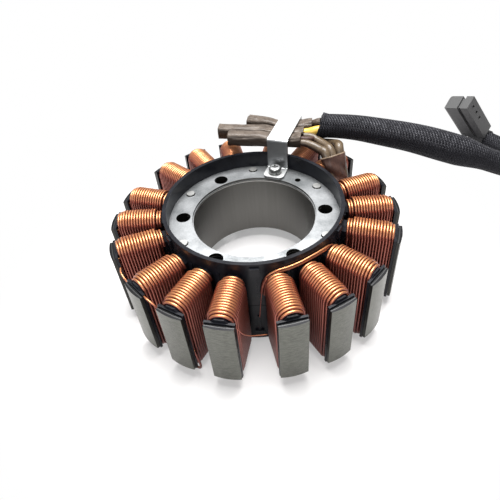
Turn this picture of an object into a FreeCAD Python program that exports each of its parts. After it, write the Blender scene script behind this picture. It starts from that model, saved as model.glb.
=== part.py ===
"""Wound stator of a flywheel alternator, with its splices, lead bracket and harness.

Units are millimetres and degrees. The origin is on the bore axis, in the lower
steel face of the core. +Z points out of the face that carries the lead bracket.
The middle pole of the first group of three points along +X.
"""
import FreeCAD, Part
import math
import os

V = FreeCAD.Vector
UP = V(0, 0, 1)

# Laminated core
STACK_H = 31.5
POLE_FACE_R = 62.9
BORE_R = 26.8
YOKE_R = 37.2
TOOTH_W = 5.0
HEAD_T = 1.9
HEAD_W = 11.05
HEAD_FACE_R = 24.0
END_LAMINATION_T = 1.0
END_LAMINATION_STEP = 0.4
POLE_GROUPS = 6
POLES_PER_GROUP = 3
POLE_PITCH = 18.0

# Holes through the yoke
BOLT_INSET = 4.4
BOLT_HOLE_D = 6.4
RIVET_INSET = 3.2
RIVET_D = 3.0
RIVET_HEAD_D = 4.3
RIVET_HEAD_T = 0.6
LEAD_GROUP = 1
LOCATOR_ANGLE = 47.5
LOCATOR_HOLE_D = 2.8

# Moulded insulator halves
COLLAR_T = 1.6
FRONT_COLLAR_H = 7.4
BACK_COLLAR_H = 5.6
TROUGH_WALL = 0.85
SADDLE_RISE = 2.1
SADDLE_CROWN_W = 3.6
SADDLE_SHOULDER = 0.3
FLANGE_T = 1.0
FLANGE_W = 11.3
FLANGE_RISE = 0.8
INSULATOR_FIT = 0.1
PARTING_GAP = 0.2
STOP_W = 3.8
STOP_H = 4.3
STOP_DROP = 1.6
STOP_PROUD = 0.9
SLOT_RIB_W = 1.0
SLOT_RIB_H = 9.2
SLOT_RIB_PROUD = 0.5
SLOT_RIB_DROP = 5.9

# Coils
WIRE_PITCH = 1.14
COIL_HUB_GAP = 1.3
LAYER_T = 1.1
LAYERS = 2
COIL_FIT = 0.1
TURN_GROOVE = 0.32
CROWN_RISE = 4.4
CROWN_W = 6.4
SHOULDER_DROP = 0.2
HUB_STEP_TURNS = 2
TIP_STEP_TURNS = 1

# Jumper wires round the front collar
JUMPER_D = 1.05
JUMPER_SPACING = 1.12
JUMPER_STEP_ASIDE = 1.6

# Lead bracket, its screw and washer
STRAP_ANGLE = 69.8
STRAP_W = 10.0
STRAP_T = 1.2
STRAP_COLLAR_GAP = 0.8
STRAP_FOOT_L = 8.6
STRAP_TOP_H = 16.3
STRAP_END_GAP = 0.15
STRAP_TAIL_H = 3.6
STRAP_BEND_R = 1.5
STRAP_CORNER_R = 2.4
SCREW_D = 3.0
SCREW_L = 8.0
SCREW_HEAD_D = 5.8
SCREW_HEAD_H = 2.3
WASHER_D = 6.4
WASHER_T = 0.9
WASHER_GAP = 0.7
SCREW_DOME_R = 1.25
SCREW_RECESS_W = 0.75
SCREW_RECESS_L = 3.2
SCREW_RECESS_DEPTH = 1.15
SCREW_HOLE_PAST = 1.0
THREAD_FIT = 0.05

# Splices under the bracket
SLEEVE_W = 6.3
SLEEVE_H = 5.2
SLEEVE_WALL = 0.3
SLEEVE_CORNER = 1.6
SLEEVE_SEAT = 0.1
SLEEVE_BEND_SHARE = 0.12
SLEEVE_SHORT = 2.6
CRIMP_L = 8.0
CRIMP_START = 7.0
CRIMP_FIT = 0.15
LEAD_D = 3.0
PHASE_WIRE_D = 2.6
WIRE_FIT = 0.02
WRAP_T = 0.35
WRAP_FIT = 0.1
LEAD_BEFORE_WRAP = 2.2
LEAD_PAST_WRAP = 1.5

# Harness and connector
HARNESS_D = 12.0
CONNECTOR_L = 28.4
CONNECTOR_W = 17.0
CONNECTOR_T = 8.8
CONNECTOR_PLATE_W = 4.6
CONNECTOR_GROOVE_W = 2.2
CONNECTOR_GROOVE_DEPTH = 1.1
CONNECTOR_ROUND_R = 3.2
CONNECTOR_HEADING = 190.8
CONNECTOR_LEAN = 51.9
CONNECTOR_ROLL = 30.8
BOOT_REACH = 6.2
BOOT_RISE = 5.6
SEAL_D = 7.0
SEAL_DEPTH = 5.0
SEAL_FIT = 0.1
SOCKET_HOLE_D = 1.9
SOCKET_HOLE_DEPTH = 9.0
SOCKET_PITCH = 5.0
SOCKET_FIRST = 4.2
TERMINAL_D = 1.3
TERMINAL_L = 7.0

# How near an edge must lie to a place to count as there
EDGE_NEAR = 0.01

# Share of the shorter run that a bend takes at each side of a route's corner
BEND_SHARE = 0.45

# Worked out from the sizes above
GROUP_PITCH = 360.0 / POLE_GROUPS
BOLT_R = BORE_R + BOLT_INSET
RIVET_R = YOKE_R - RIVET_INSET
FACE_Z = STACK_H
MID_Z = STACK_H / 2
FLOOR_Z = -BACK_COLLAR_H
COLLAR_IN_R = YOKE_R + INSULATOR_FIT
COLLAR_OUT_R = COLLAR_IN_R + COLLAR_T
HEAD_IN_U = POLE_FACE_R - HEAD_T
FLANGE_OUT_U = HEAD_IN_U - INSULATOR_FIT
FLANGE_IN_U = FLANGE_OUT_U - FLANGE_T
TROUGH_HALF = TOOTH_W / 2 + INSULATOR_FIT + TROUGH_WALL
COIL_IN_HALF = TROUGH_HALF + COIL_FIT
COIL_OUT_HALF = COIL_IN_HALF + LAYERS * LAYER_T
COIL_END_U = FLANGE_IN_U - 2 * COIL_FIT
TURNS = int((COIL_END_U - COLLAR_OUT_R - COIL_HUB_GAP) / WIRE_PITCH)
COIL_START_U = COIL_END_U - TURNS * WIRE_PITCH
JUMPER_R = COLLAR_OUT_R + JUMPER_D / 2 + COIL_FIT
STRAP_RISER_R = COLLAR_IN_R - STRAP_COLLAR_GAP
STRAP_TOP_Z = FACE_Z + STRAP_TOP_H
SLEEVE_Z = STRAP_TOP_Z - STRAP_T - SLEEVE_H / 2 - SLEEVE_SEAT
SCREW_R = STRAP_RISER_R - STRAP_T - STRAP_FOOT_L / 2
HARNESS_FLOOR_Z = FLOOR_Z + HARNESS_D / 2

# Route of each splice sleeve's middle line, left to right
SLEEVE_ROUTES = [
    [(-11.0, 44.2), (24.5, 38.0)],
    [(-16.0, 51.6), (28.5, 43.8)],
    [(-1.0, 59.2), (14.5, 52.85), (30.5, 51.0)],
]

# Route of each winding lead from its sleeve's mouth to the wrap round all three
LEAD_ROUTES = [
    [(29.0, 34.6, FACE_Z + 11.4), (33.0, 31.6, FACE_Z + 10.1)],
    [(31.5, 41.0, FACE_Z + 10.6), (35.5, 36.0, FACE_Z + 9.9)],
    [(31.9, 48.8, FACE_Z + 8.8), (34.0, 45.4, FACE_Z + 6.7), (38.8, 39.6, FACE_Z + 6.9),
     (40.1, 34.8, FACE_Z + 9.4)],
]

# Middle of the wrap's mouth, and of its lower end between two groups of coils
WRAP_MOUTH = (38.2, 29.3, FACE_Z + 8.7)
WRAP_END = (41.15, 22.85, FACE_Z - 2.5)

# Where each phase wire meets the end of the harness, in the harness's own section
PHASE_WIRE_SEATS = [(-4.2, 0.0), (0.4, -1.6), (3.3, 0.9)]

# Point that the first phase wire passes, in front of the second sleeve's mouth
PHASE_WIRE_VIA = [[(28.2, 38.7, FACE_Z + 14.0)], [], []]

# Upper jumper wire: angle about the bore axis, and height above the core's face, of each point
JUMPER_ROUTE = [(-87.2, -7.5), (-86.2, -2.5), (-83.4, 1.7), (-78.0, 3.6), (-70.5, 3.8), (-63.0, 4.2),
                (-56.5, 4.5), (-49.5, 4.2), (-42.5, 3.5), (-37.0, 0.9), (-34.6, -3.5)]

# Route of the harness: over the coils, down to the surface and round to the connector
HARNESS_ROUTE = [
    (34.0, 46.8, FACE_Z + 14.8), (48.0, 43.6, FACE_Z + 14.8), (64.0, 37.6, FACE_Z + 14.1), (82.0, 31.2, 43.1),
    (100.0, 27.4, 38.3), (116.5, 26.6, 31.4), (132.6, 29.6, 24.2), (146.2, 37.4, 17.2),
    (155.1, 50.1, 10.8), (158.3, 62.5, 5.5), (157.7, 75.5, 2.1),
    (153.8, 87.3, HARNESS_FLOOR_Z), (146.9, 97.7, HARNESS_FLOOR_Z),
]


def pole_angles():
    """Angle of every pole: groups at an even pitch, each with its poles closer together."""
    middle = (POLES_PER_GROUP - 1) / 2
    return [GROUP_PITCH * group + POLE_PITCH * (pole - middle)
            for group in range(POLE_GROUPS) for pole in range(POLES_PER_GROUP)]


def polar(radius, angle, z=0.0):
    """Point at a radius and an angle about the bore axis."""
    turn = math.radians(angle)
    return V(radius * math.cos(turn), radius * math.sin(turn), z)


def turned(shape, angle):
    """Copy of a shape turned about the bore axis."""
    copy = shape.copy()
    copy.rotate(V(0, 0, 0), UP, angle)
    return copy


def ring(outer_r, inner_r, z, height):
    """Plain ring about the bore axis."""
    outer = Part.makeCylinder(outer_r, height, V(0, 0, z))
    return outer.cut(Part.makeCylinder(inner_r, height, V(0, 0, z)))


def block(u0, u1, width, z0, z1):
    """Block centred on the +X axis between two radii."""
    return Part.makeBox(u1 - u0, width, z1 - z0, V(u0, -width / 2, z0))


def prism_along_u(outline, u0, u1):
    """Prism whose (v, z) outline is carried along +X from one radius to another."""
    points = [V(u0, v, z) for v, z in outline]
    face = Part.Face(Part.makePolygon(points + points[:1]))
    return face.extrude(V(u1 - u0, 0, 0))


def tube(points, diameter):
    """Round bar along straight runs that tangent arcs join; returns its solid, length and radii."""
    runs = [points[i + 1] - points[i] for i in range(len(points) - 1)]
    edges = []
    radii = []
    start = points[0]
    for i in range(1, len(points) - 1):
        before = V(runs[i - 1]).normalize()
        after = V(runs[i]).normalize()
        half_turn = before.getAngle(after) / 2
        setback = BEND_SHARE * min(runs[i - 1].Length, runs[i].Length)
        radius = setback / math.tan(half_turn)
        arc_in = points[i] - before * setback
        arc_out = points[i] + after * setback
        inward = (after - before).normalize()
        middle = points[i] + inward * (radius / math.cos(half_turn) - radius)
        edges.append(Part.LineSegment(start, arc_in).toShape())
        edges.append(Part.Arc(arc_in, middle, arc_out).toShape())
        radii.append(radius)
        start = arc_out
    edges.append(Part.LineSegment(start, points[-1]).toShape())
    spine = Part.Wire(edges)
    section = Part.Wire(Part.makeCircle(diameter / 2, points[0], runs[0]))
    return spine.makePipeShell([section], True, False), spine.Length, radii


def core_laminations():
    """Stack of punched steel: yoke, teeth and pole heads, with its bolt, rivet and screw holes."""
    body = Part.makeCylinder(YOKE_R, STACK_H)
    tooth = block(YOKE_R - TOOTH_W, HEAD_IN_U + HEAD_T / 2, TOOTH_W, 0, STACK_H)
    face = Part.makeCylinder(HEAD_FACE_R, STACK_H, V(POLE_FACE_R - HEAD_FACE_R, 0, 0))
    head = block(HEAD_IN_U, POLE_FACE_R, HEAD_W, 0, STACK_H).common(face)
    pole = tooth.fuse(head)
    body = body.multiFuse([turned(pole, angle) for angle in pole_angles()]).removeSplitter()
    holes = [Part.makeCylinder(BORE_R, STACK_H)]
    step_r = BORE_R + END_LAMINATION_STEP
    holes.append(Part.makeCylinder(step_r, END_LAMINATION_T, V(0, 0, STACK_H - END_LAMINATION_T)))
    for group in range(POLE_GROUPS):
        angle = GROUP_PITCH * group
        rivet_at = polar(RIVET_R, angle + GROUP_PITCH / 2)
        holes.append(Part.makeCylinder(RIVET_D / 2, STACK_H, rivet_at))
        if group != LEAD_GROUP:
            holes.append(Part.makeCylinder(BOLT_HOLE_D / 2, STACK_H, polar(BOLT_R, angle)))
    holes.append(Part.makeCylinder(LOCATOR_HOLE_D / 2, STACK_H, polar(BOLT_R, LOCATOR_ANGLE)))
    screw_hole_depth = SCREW_L + SCREW_HOLE_PAST
    screw_at = polar(SCREW_R, STRAP_ANGLE, STACK_H - screw_hole_depth)
    holes.append(Part.makeCylinder(SCREW_D / 2 + THREAD_FIT, screw_hole_depth, screw_at))
    return body.cut(holes)


def saddle_outline(half_width, shoulder_z, crown_half, crown_z):
    """Outline over the top of a tooth: upright sides, sloping shoulders, flat crown."""
    return [(half_width, MID_Z + PARTING_GAP / 2), (half_width, shoulder_z), (crown_half, crown_z),
            (-crown_half, crown_z), (-half_width, shoulder_z), (-half_width, MID_Z + PARTING_GAP / 2)]


def insulator_half(collar_h):
    """Front half of the moulded insulator: collar, hub wall, tooth troughs and pole flanges."""
    parting_z = MID_Z + PARTING_GAP / 2
    body = Part.makeCylinder(COLLAR_OUT_R, FACE_Z + collar_h - parting_z, V(0, 0, parting_z))
    trough = prism_along_u(saddle_outline(TROUGH_HALF, FACE_Z + SADDLE_SHOULDER, SADDLE_CROWN_W / 2,
                                          FACE_Z + SADDLE_RISE), COLLAR_IN_R, FLANGE_IN_U + FLANGE_T / 2)
    flange = block(FLANGE_IN_U, FLANGE_OUT_U, FLANGE_W, parting_z, FACE_Z + FLANGE_RISE)
    pole = trough.fuse(flange)
    pieces = [turned(pole, angle) for angle in pole_angles()]
    stop_top = FACE_Z + collar_h - STOP_DROP
    stop = block(COLLAR_IN_R, COLLAR_OUT_R + STOP_PROUD, STOP_W, stop_top - STOP_H, stop_top)
    rib_top = FACE_Z + collar_h - SLOT_RIB_DROP
    rib = block(COLLAR_IN_R, COLLAR_OUT_R + SLOT_RIB_PROUD, SLOT_RIB_W, rib_top - SLOT_RIB_H, rib_top)
    for group in range(POLE_GROUPS):
        angle = GROUP_PITCH * group
        pieces.append(turned(stop, angle + GROUP_PITCH / 2))
        pieces.append(turned(rib, angle + GROUP_PITCH / 2))
        pieces.append(turned(rib, angle - POLE_PITCH / 2))
        pieces.append(turned(rib, angle + POLE_PITCH / 2))
    body = body.multiFuse(pieces)
    tooth_space = block(0, FLANGE_OUT_U, TOOTH_W + 2 * INSULATOR_FIT, parting_z, FACE_Z + INSULATOR_FIT)
    spaces = [turned(tooth_space, angle) for angle in pole_angles()]
    spaces.append(Part.makeCylinder(COLLAR_IN_R, FACE_Z + collar_h, V(0, 0, 0)))
    return body.cut(spaces).removeSplitter()


def back_insulator():
    """Back half: the front half's form turned over, with a lower collar."""
    return insulator_half(BACK_COLLAR_H).mirror(V(0, 0, MID_Z), UP)


def coil_outline(inset):
    """Outline of a turn in (v, z), each side moved inwards by the same amount."""
    side = COIL_OUT_HALF - inset
    crown_z = FACE_Z + CROWN_RISE - inset
    shoulder_z = FACE_Z - SHOULDER_DROP
    slope_v = COIL_OUT_HALF - CROWN_W / 2
    slope_z = CROWN_RISE + SHOULDER_DROP
    slope = math.hypot(slope_v, slope_z)
    side_drop = inset * (slope - slope_z) / slope_v
    crown_cut = inset * (slope - slope_v) / slope_z
    top = [(side, shoulder_z - side_drop), (CROWN_W / 2 - crown_cut, crown_z)]
    top += [(-v, z) for v, z in reversed(top)]
    return top + [(v, STACK_H - z) for v, z in reversed(top)]


def coil():
    """Winding of one pole as a ridged sleeve: a ridge for each turn, fewer layers at both ends."""
    stations = []
    for turn in range(TURNS):
        stepped = turn < HUB_STEP_TURNS or turn >= TURNS - TIP_STEP_TURNS
        inset = LAYER_T if stepped else 0.0
        start = COIL_START_U + turn * WIRE_PITCH
        stations.append((start, inset + TURN_GROOVE))
        stations.append((start + WIRE_PITCH / 2, inset))
    stations.append((COIL_END_U, LAYER_T + TURN_GROOVE))
    loops = [[V(u, v, z) for v, z in coil_outline(inset)] for u, inset in stations]
    faces = [Part.Face(Part.makePolygon(loop + loop[:1])) for loop in (loops[0], loops[-1])]
    for near, far in zip(loops, loops[1:]):
        for i in range(len(near)):
            j = (i + 1) % len(near)
            faces.append(Part.Face(Part.makePolygon([near[i], near[j], far[j], far[i], near[i]])))
    body = Part.makeSolid(Part.makeShell(faces))
    if body.Volume < 0:
        body.reverse()
    window = saddle_outline(COIL_IN_HALF, FACE_Z + SADDLE_SHOULDER + COIL_FIT,
                            SADDLE_CROWN_W / 2 + COIL_FIT, FACE_Z + SADDLE_RISE + COIL_FIT)[1:5]
    window = window + [(v, STACK_H - z) for v, z in reversed(window)]
    return body.cut(prism_along_u(window, COIL_START_U - WIRE_PITCH, COIL_END_U + WIRE_PITCH))


def core_rivets():
    """Six rivets that hold the stack together, headed at both faces."""
    rivets = []
    for group in range(POLE_GROUPS):
        at = polar(RIVET_R, GROUP_PITCH * (group + 0.5))
        shank = Part.makeCylinder(RIVET_D / 2, STACK_H, at)
        wide_r = RIVET_HEAD_D / 2
        narrow_r = wide_r - RIVET_HEAD_T / 2
        top = Part.makeCone(wide_r, narrow_r, RIVET_HEAD_T, at + UP * STACK_H)
        bottom = Part.makeCone(narrow_r, wide_r, RIVET_HEAD_T, at - UP * RIVET_HEAD_T)
        rivets.append(shank.multiFuse([top, bottom]))
    return Part.makeCompound(rivets)


def jumper_wires():
    """Two enamelled wires laid round the outside of the front collar, from one coil to another."""
    middle = (JUMPER_ROUTE[0][0] + JUMPER_ROUTE[-1][0]) / 2
    wires = []
    for lower in (0, 1):
        points = []
        for angle, rise in JUMPER_ROUTE:
            steep = (angle, rise) in (JUMPER_ROUTE[0], JUMPER_ROUTE[1], JUMPER_ROUTE[-1])
            aside = lower * JUMPER_STEP_ASIDE if steep else 0.0
            inwards = math.copysign(aside, middle - angle)
            points.append(polar(JUMPER_R, angle + inwards, FACE_Z + rise - lower * JUMPER_SPACING))
        wires.append(tube(points, JUMPER_D)[0])
    return Part.makeCompound(wires)


def strap_end():
    """Radius of the strap's outer end, just past the outermost sleeve that it crosses."""
    strap = polar(1.0, STRAP_ANGLE)
    reach = 0.0
    for route in SLEEVE_ROUTES:
        points = level_points(route)
        for near, far in zip(points, points[1:]):
            run = (far - near).normalize()
            across = strap.cross(run).z
            along_run = near.cross(strap).z / across
            if 0 <= along_run <= near.distanceToPoint(far):
                half = (SLEEVE_W / 2 + STRAP_W / 2 * abs(strap.dot(run))) / abs(across)
                reach = max(reach, near.cross(run).z / across + half)
    return reach + STRAP_END_GAP + STRAP_T


def lead_bracket():
    """Folded strap: foot under the screw, riser inside the collar, top and tail over the sleeves."""
    u_in = STRAP_RISER_R - STRAP_T - STRAP_FOOT_L
    u_out = strap_end()
    z0 = FACE_Z
    z1 = STRAP_TOP_Z
    outside = [V(u_in, 0, z0), V(STRAP_RISER_R, 0, z0), V(STRAP_RISER_R, 0, z1 - STRAP_T),
               V(u_out - STRAP_T, 0, z1 - STRAP_T), V(u_out - STRAP_T, 0, z1 - STRAP_TAIL_H),
               V(u_out, 0, z1 - STRAP_TAIL_H), V(u_out, 0, z1), V(STRAP_RISER_R - STRAP_T, 0, z1),
               V(STRAP_RISER_R - STRAP_T, 0, z0 + STRAP_T), V(u_in, 0, z0 + STRAP_T)]
    face = Part.Face(Part.makePolygon(outside + outside[:1]))
    strap = face.extrude(V(0, STRAP_W, 0))
    strap.translate(V(0, -STRAP_W / 2, 0))
    outer_bends = {(STRAP_RISER_R, z0), (u_out, z1), (STRAP_RISER_R - STRAP_T, z1)}
    inner_bends = {(STRAP_RISER_R - STRAP_T, z0 + STRAP_T), (u_out - STRAP_T, z1 - STRAP_T),
                   (STRAP_RISER_R, z1 - STRAP_T)}
    for bends, radius in ((outer_bends, STRAP_BEND_R), (inner_bends, STRAP_BEND_R - STRAP_T)):
        strap = strap.makeFillet(radius, edges_at(strap, bends))
    corners = [edge for edge in strap.Edges if upright(edge) and edge.BoundBox.XMax < u_in + EDGE_NEAR]
    strap = strap.makeFillet(STRAP_CORNER_R, corners)
    hole = Part.makeCylinder(SCREW_D / 2 + THREAD_FIT, STRAP_T, V(SCREW_R, 0, z0))
    return turned(strap.cut(hole), STRAP_ANGLE)


def edges_at(shape, places):
    """Edges across the strap at the given (x, z) places."""
    found = []
    for edge in shape.Edges:
        box = edge.BoundBox
        off = min(abs(box.Center.x - x) + abs(box.Center.z - z) for x, z in places)
        if box.YLength > STRAP_W / 2 and off < EDGE_NEAR:
            found.append(edge)
    return found


def upright(edge):
    """True for a straight edge along Z."""
    return edge.BoundBox.XLength + edge.BoundBox.YLength < EDGE_NEAR


def bracket_screw():
    """Pan-head screw with a cross recess, through the washer and the foot into the core."""
    head_z = FACE_Z + STRAP_T + WASHER_T
    head = Part.makeCylinder(SCREW_HEAD_D / 2, SCREW_HEAD_H, V(0, 0, head_z))
    rim = [edge for edge in head.Edges if edge.BoundBox.ZMin > head_z + SCREW_HEAD_H / 2]
    head = head.makeFillet(SCREW_DOME_R, rim)
    shank = Part.makeCylinder(SCREW_D / 2, SCREW_L, V(0, 0, head_z - SCREW_L))
    recess_z = head_z + SCREW_HEAD_H - SCREW_RECESS_DEPTH
    half_l = SCREW_RECESS_L / 2
    half_w = SCREW_RECESS_W / 2
    arms = [Part.makeBox(SCREW_RECESS_L, SCREW_RECESS_W, SCREW_HEAD_H, V(-half_l, -half_w, recess_z)),
            Part.makeBox(SCREW_RECESS_W, SCREW_RECESS_L, SCREW_HEAD_H, V(-half_w, -half_l, recess_z))]
    screw = head.fuse(shank).cut(arms)
    screw.translate(polar(SCREW_R, STRAP_ANGLE))
    return screw


def lock_washer():
    """Split spring washer under the screw's head."""
    z = FACE_Z + STRAP_T
    washer = ring(WASHER_D / 2, SCREW_D / 2 + THREAD_FIT, z, WASHER_T)
    split = Part.makeBox(WASHER_D, WASHER_GAP, WASHER_T, V(0, -WASHER_GAP / 2, z))
    washer = turned(washer.cut(split), STRAP_ANGLE - 150)
    washer.translate(polar(SCREW_R, STRAP_ANGLE))
    return washer


def flat_section(width, height, corner, at, along):
    """Closed wire of a rounded rectangle across a path."""
    side = along.cross(UP).normalize()
    rise = side.cross(along)
    w = width / 2
    h = height / 2
    k = corner * (1 - math.sqrt(0.5))
    signs = [(1, 1), (-1, 1), (-1, -1), (1, -1)]
    edges = []
    for i, (a, b) in enumerate(signs):
        c, d = signs[(i + 1) % 4]
        from_side = at + side * (a * w) + rise * (b * (h - corner))
        from_top = at + side * (a * (w - corner)) + rise * (b * h)
        corner_mid = at + side * (a * (w - k)) + rise * (b * (h - k))
        to_side = at + side * (c * w) + rise * (d * (h - corner))
        to_top = at + side * (c * (w - corner)) + rise * (d * h)
        if b == d:
            edges.append(Part.Arc(from_side, corner_mid, from_top).toShape())
            edges.append(Part.LineSegment(from_top, to_top).toShape())
        else:
            edges.append(Part.Arc(from_top, corner_mid, from_side).toShape())
            edges.append(Part.LineSegment(from_side, to_side).toShape())
    return Part.Wire(Part.sortEdges(edges)[0])


def level_points(route):
    """Points of a sleeve's route at the sleeves' height."""
    return [V(x, y, SLEEVE_Z) for x, y in route]


def level_path(points):
    """Wire along one or two level runs, with an arc at the corner."""
    if len(points) == 2:
        return Part.Wire(Part.LineSegment(points[0], points[1]).toShape())
    before = (points[1] - points[0]).normalize()
    after = (points[2] - points[1]).normalize()
    half_turn = before.getAngle(after) / 2
    shorter = min(points[0].distanceToPoint(points[1]), points[1].distanceToPoint(points[2]))
    setback = SLEEVE_BEND_SHARE * shorter
    lift = setback / math.sin(half_turn) - setback / math.tan(half_turn)
    middle = points[1] + (after - before).normalize() * lift
    arc_in = points[1] - before * setback
    arc_out = points[1] + after * setback
    return Part.Wire([Part.LineSegment(points[0], arc_in).toShape(),
                      Part.Arc(arc_in, middle, arc_out).toShape(),
                      Part.LineSegment(arc_out, points[2]).toShape()])


def splice_sleeve(route):
    """Flattened length of woven glass sleeving round a splice, open at both ends."""
    points = level_points(route)
    along = (points[1] - points[0]).normalize()
    points[-1] = points[-1] - (points[-1] - points[-2]).normalize() * SLEEVE_SHORT
    path = level_path(points)
    outer = flat_section(SLEEVE_W, SLEEVE_H, SLEEVE_CORNER, points[0], along)
    inner = flat_section(SLEEVE_W - 2 * SLEEVE_WALL, SLEEVE_H - 2 * SLEEVE_WALL,
                         SLEEVE_CORNER - SLEEVE_WALL, points[0], along)
    return path.makePipeShell([outer], True, False).cut(path.makePipeShell([inner], True, False))


def splice_crimp(route):
    """Flattened barrel crimped on the ends of a winding lead and a phase wire."""
    points = level_points(route)
    along = (points[1] - points[0]).normalize()
    margin = SLEEVE_WALL + CRIMP_FIT
    section = flat_section(SLEEVE_W - 2 * margin, SLEEVE_H - 2 * margin, SLEEVE_CORNER - margin,
                           points[0] + along * CRIMP_START, along)
    return Part.Face(section).extrude(along * CRIMP_L)


def wire_start(route, diameter, side):
    """Point on a crimp's right face, and the route on from it along one wall of the sleeve."""
    offset = side * (SLEEVE_W / 2 - SLEEVE_WALL - diameter / 2 - WIRE_FIT)
    points = level_points(route)
    along = (points[1] - points[0]).normalize()
    across = along.cross(UP).normalize()
    first = points[0] + along * (CRIMP_START + CRIMP_L) + across * offset
    if len(points) == 2:
        return [first, points[1] + across * offset]
    across_after = (points[2] - points[1]).normalize().cross(UP)
    corner = (across + across_after) * (offset / (1 + across.dot(across_after)))
    return [first, points[1] + corner, points[2] + across_after * offset]


def winding_lead(route, lead_route, place):
    """Winding end in brown sleeving, from its crimp through the wrap; place counts from the bore."""
    mouth = V(*WRAP_MOUTH)
    along = (V(*WRAP_END) - mouth).normalize()
    outwards = UP.cross(along).normalize()
    shift = outwards * ((place - 1) * (LEAD_D + WRAP_FIT))
    points = wire_start(route, LEAD_D, 1) + [V(*point) for point in lead_route]
    end = V(*WRAP_END) + along * LEAD_PAST_WRAP
    entry = mouth - along * LEAD_BEFORE_WRAP
    return tube(points + [entry + shift, end + shift], LEAD_D)[0]


def phase_wire(route, via, seat):
    """Insulated wire from its crimp to the end face of the harness."""
    start = V(*HARNESS_ROUTE[0])
    along = (V(*HARNESS_ROUTE[1]) - start).normalize()
    side = UP.cross(along).normalize()
    rise = along.cross(side)
    end = start + side * seat[0] + rise * seat[1]
    before = end - along * (PHASE_WIRE_D / 2)
    points = wire_start(route, PHASE_WIRE_D, -1) + [V(*point) for point in via]
    return tube(points + [before, end], PHASE_WIRE_D)[0]


def lead_wrap():
    """Flattened sleeve of woven glass round the three winding leads, open at both ends."""
    mouth = V(*WRAP_MOUTH)
    along = (V(*WRAP_END) - mouth).normalize()
    length = mouth.distanceToPoint(V(*WRAP_END))
    width = 3 * LEAD_D + 4 * WRAP_FIT
    height = LEAD_D + 2 * WRAP_FIT
    corner = LEAD_D / 2
    outer = flat_section(width + 2 * WRAP_T, height + 2 * WRAP_T, corner + WRAP_T, mouth, along)
    inner = flat_section(width, height, corner, mouth, along)
    wrap = Part.Face(outer).extrude(along * length)
    return wrap.cut(Part.Face(inner).extrude(along * length))


def harness():
    """Braided harness, a plain round bar along its route."""
    solid, length, radii = tube([V(*point) for point in HARNESS_ROUTE], HARNESS_D)
    share = solid.Volume / (math.pi * HARNESS_D ** 2 / 4 * length)
    print("harness length %.1f, volume over section x length %.4f" % (length, share))
    print("harness radii", " ".join("%.1f" % radius for radius in radii))
    return solid


def elbow_corner():
    """Where the middle line of the rubber boot turns up towards the connector."""
    end = V(*HARNESS_ROUTE[-1])
    return end + (end - V(*HARNESS_ROUTE[-2])).normalize() * BOOT_REACH


def connector_place(shape):
    """Carry a shape from the connector's own axes, wire end at the origin, to where it leans."""
    copy = shape.copy()
    copy.rotate(V(0, 0, 0), V(1, 0, 0), CONNECTOR_ROLL)
    copy.rotate(V(0, 0, 0), V(0, 1, 0), -CONNECTOR_LEAN)
    copy.rotate(V(0, 0, 0), UP, CONNECTOR_HEADING)
    level = BOOT_RISE * math.cos(math.radians(CONNECTOR_LEAN))
    up = UP * (BOOT_RISE * math.sin(math.radians(CONNECTOR_LEAN)))
    copy.translate(elbow_corner() + polar(level, CONNECTOR_HEADING) + up)
    return copy


def socket_holes(diameter, length, start):
    """Three round holes or terminals side by side in the plate, from a depth inwards."""
    bars = []
    for place in range(3):
        x = CONNECTOR_L - SOCKET_FIRST - place * SOCKET_PITCH
        at = V(x, CONNECTOR_W / 2 - start, 0)
        bars.append(Part.makeCylinder(diameter / 2, length, at, V(0, -1, 0)))
    return bars


def connector_housing():
    """Moulded socket housing: plate with three holes, groove, and body with rounded long edges."""
    half = CONNECTOR_W / 2
    plate_in = half - CONNECTOR_PLATE_W
    body_out = plate_in - CONNECTOR_GROOVE_W
    plate = Part.makeBox(CONNECTOR_L, CONNECTOR_PLATE_W, CONNECTOR_T, V(0, plate_in, -CONNECTOR_T / 2))
    body = Part.makeBox(CONNECTOR_L, body_out + half, CONNECTOR_T, V(0, -half, -CONNECTOR_T / 2))
    outer = [edge for edge in body.Edges if edge.BoundBox.YMax < EDGE_NEAR - half and
             (edge.BoundBox.XLength > CONNECTOR_L / 2 or edge.BoundBox.XMin > CONNECTOR_L / 2)]
    body = body.makeFillet(CONNECTOR_ROUND_R, outer)
    neck_t = CONNECTOR_T - 2 * CONNECTOR_GROOVE_DEPTH
    neck = Part.makeBox(CONNECTOR_L - CONNECTOR_GROOVE_DEPTH, CONNECTOR_GROOVE_W, neck_t,
                        V(0, body_out, -neck_t / 2))
    pocket = Part.makeCylinder(SEAL_D / 2, SEAL_DEPTH, V(0, 0, 0), V(1, 0, 0))
    holes = socket_holes(SOCKET_HOLE_D, SOCKET_HOLE_DEPTH, 0)
    return connector_place(plate.multiFuse([body, neck]).cut([pocket] + holes))


def connector_boot():
    """Rubber elbow between the end of the harness and the pocket in the housing."""
    end = V(*HARNESS_ROUTE[-1])
    corner = elbow_corner()
    radius = HARNESS_D / 2
    elbow = Part.makeCylinder(radius, BOOT_REACH, end, corner - end)
    elbow = elbow.fuse(Part.makeSphere(radius, corner))
    beyond = connector_place(Part.makeBox(CONNECTOR_L, 2 * CONNECTOR_W, 2 * CONNECTOR_W,
                                          V(0, -CONNECTOR_W, -CONNECTOR_W)))
    plug = Part.makeCylinder(SEAL_D / 2 - SEAL_FIT, SEAL_DEPTH + BOOT_RISE, V(-BOOT_RISE, 0, 0), V(1, 0, 0))
    return elbow.cut(beyond).fuse(connector_place(plug)).removeSplitter()


def connector_terminals():
    """Three round terminals, each on the floor of its hole and short of the plate's face."""
    start = SOCKET_HOLE_DEPTH - TERMINAL_L
    return Part.makeCompound([connector_place(bar) for bar in socket_holes(TERMINAL_D, TERMINAL_L, start)])


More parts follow.
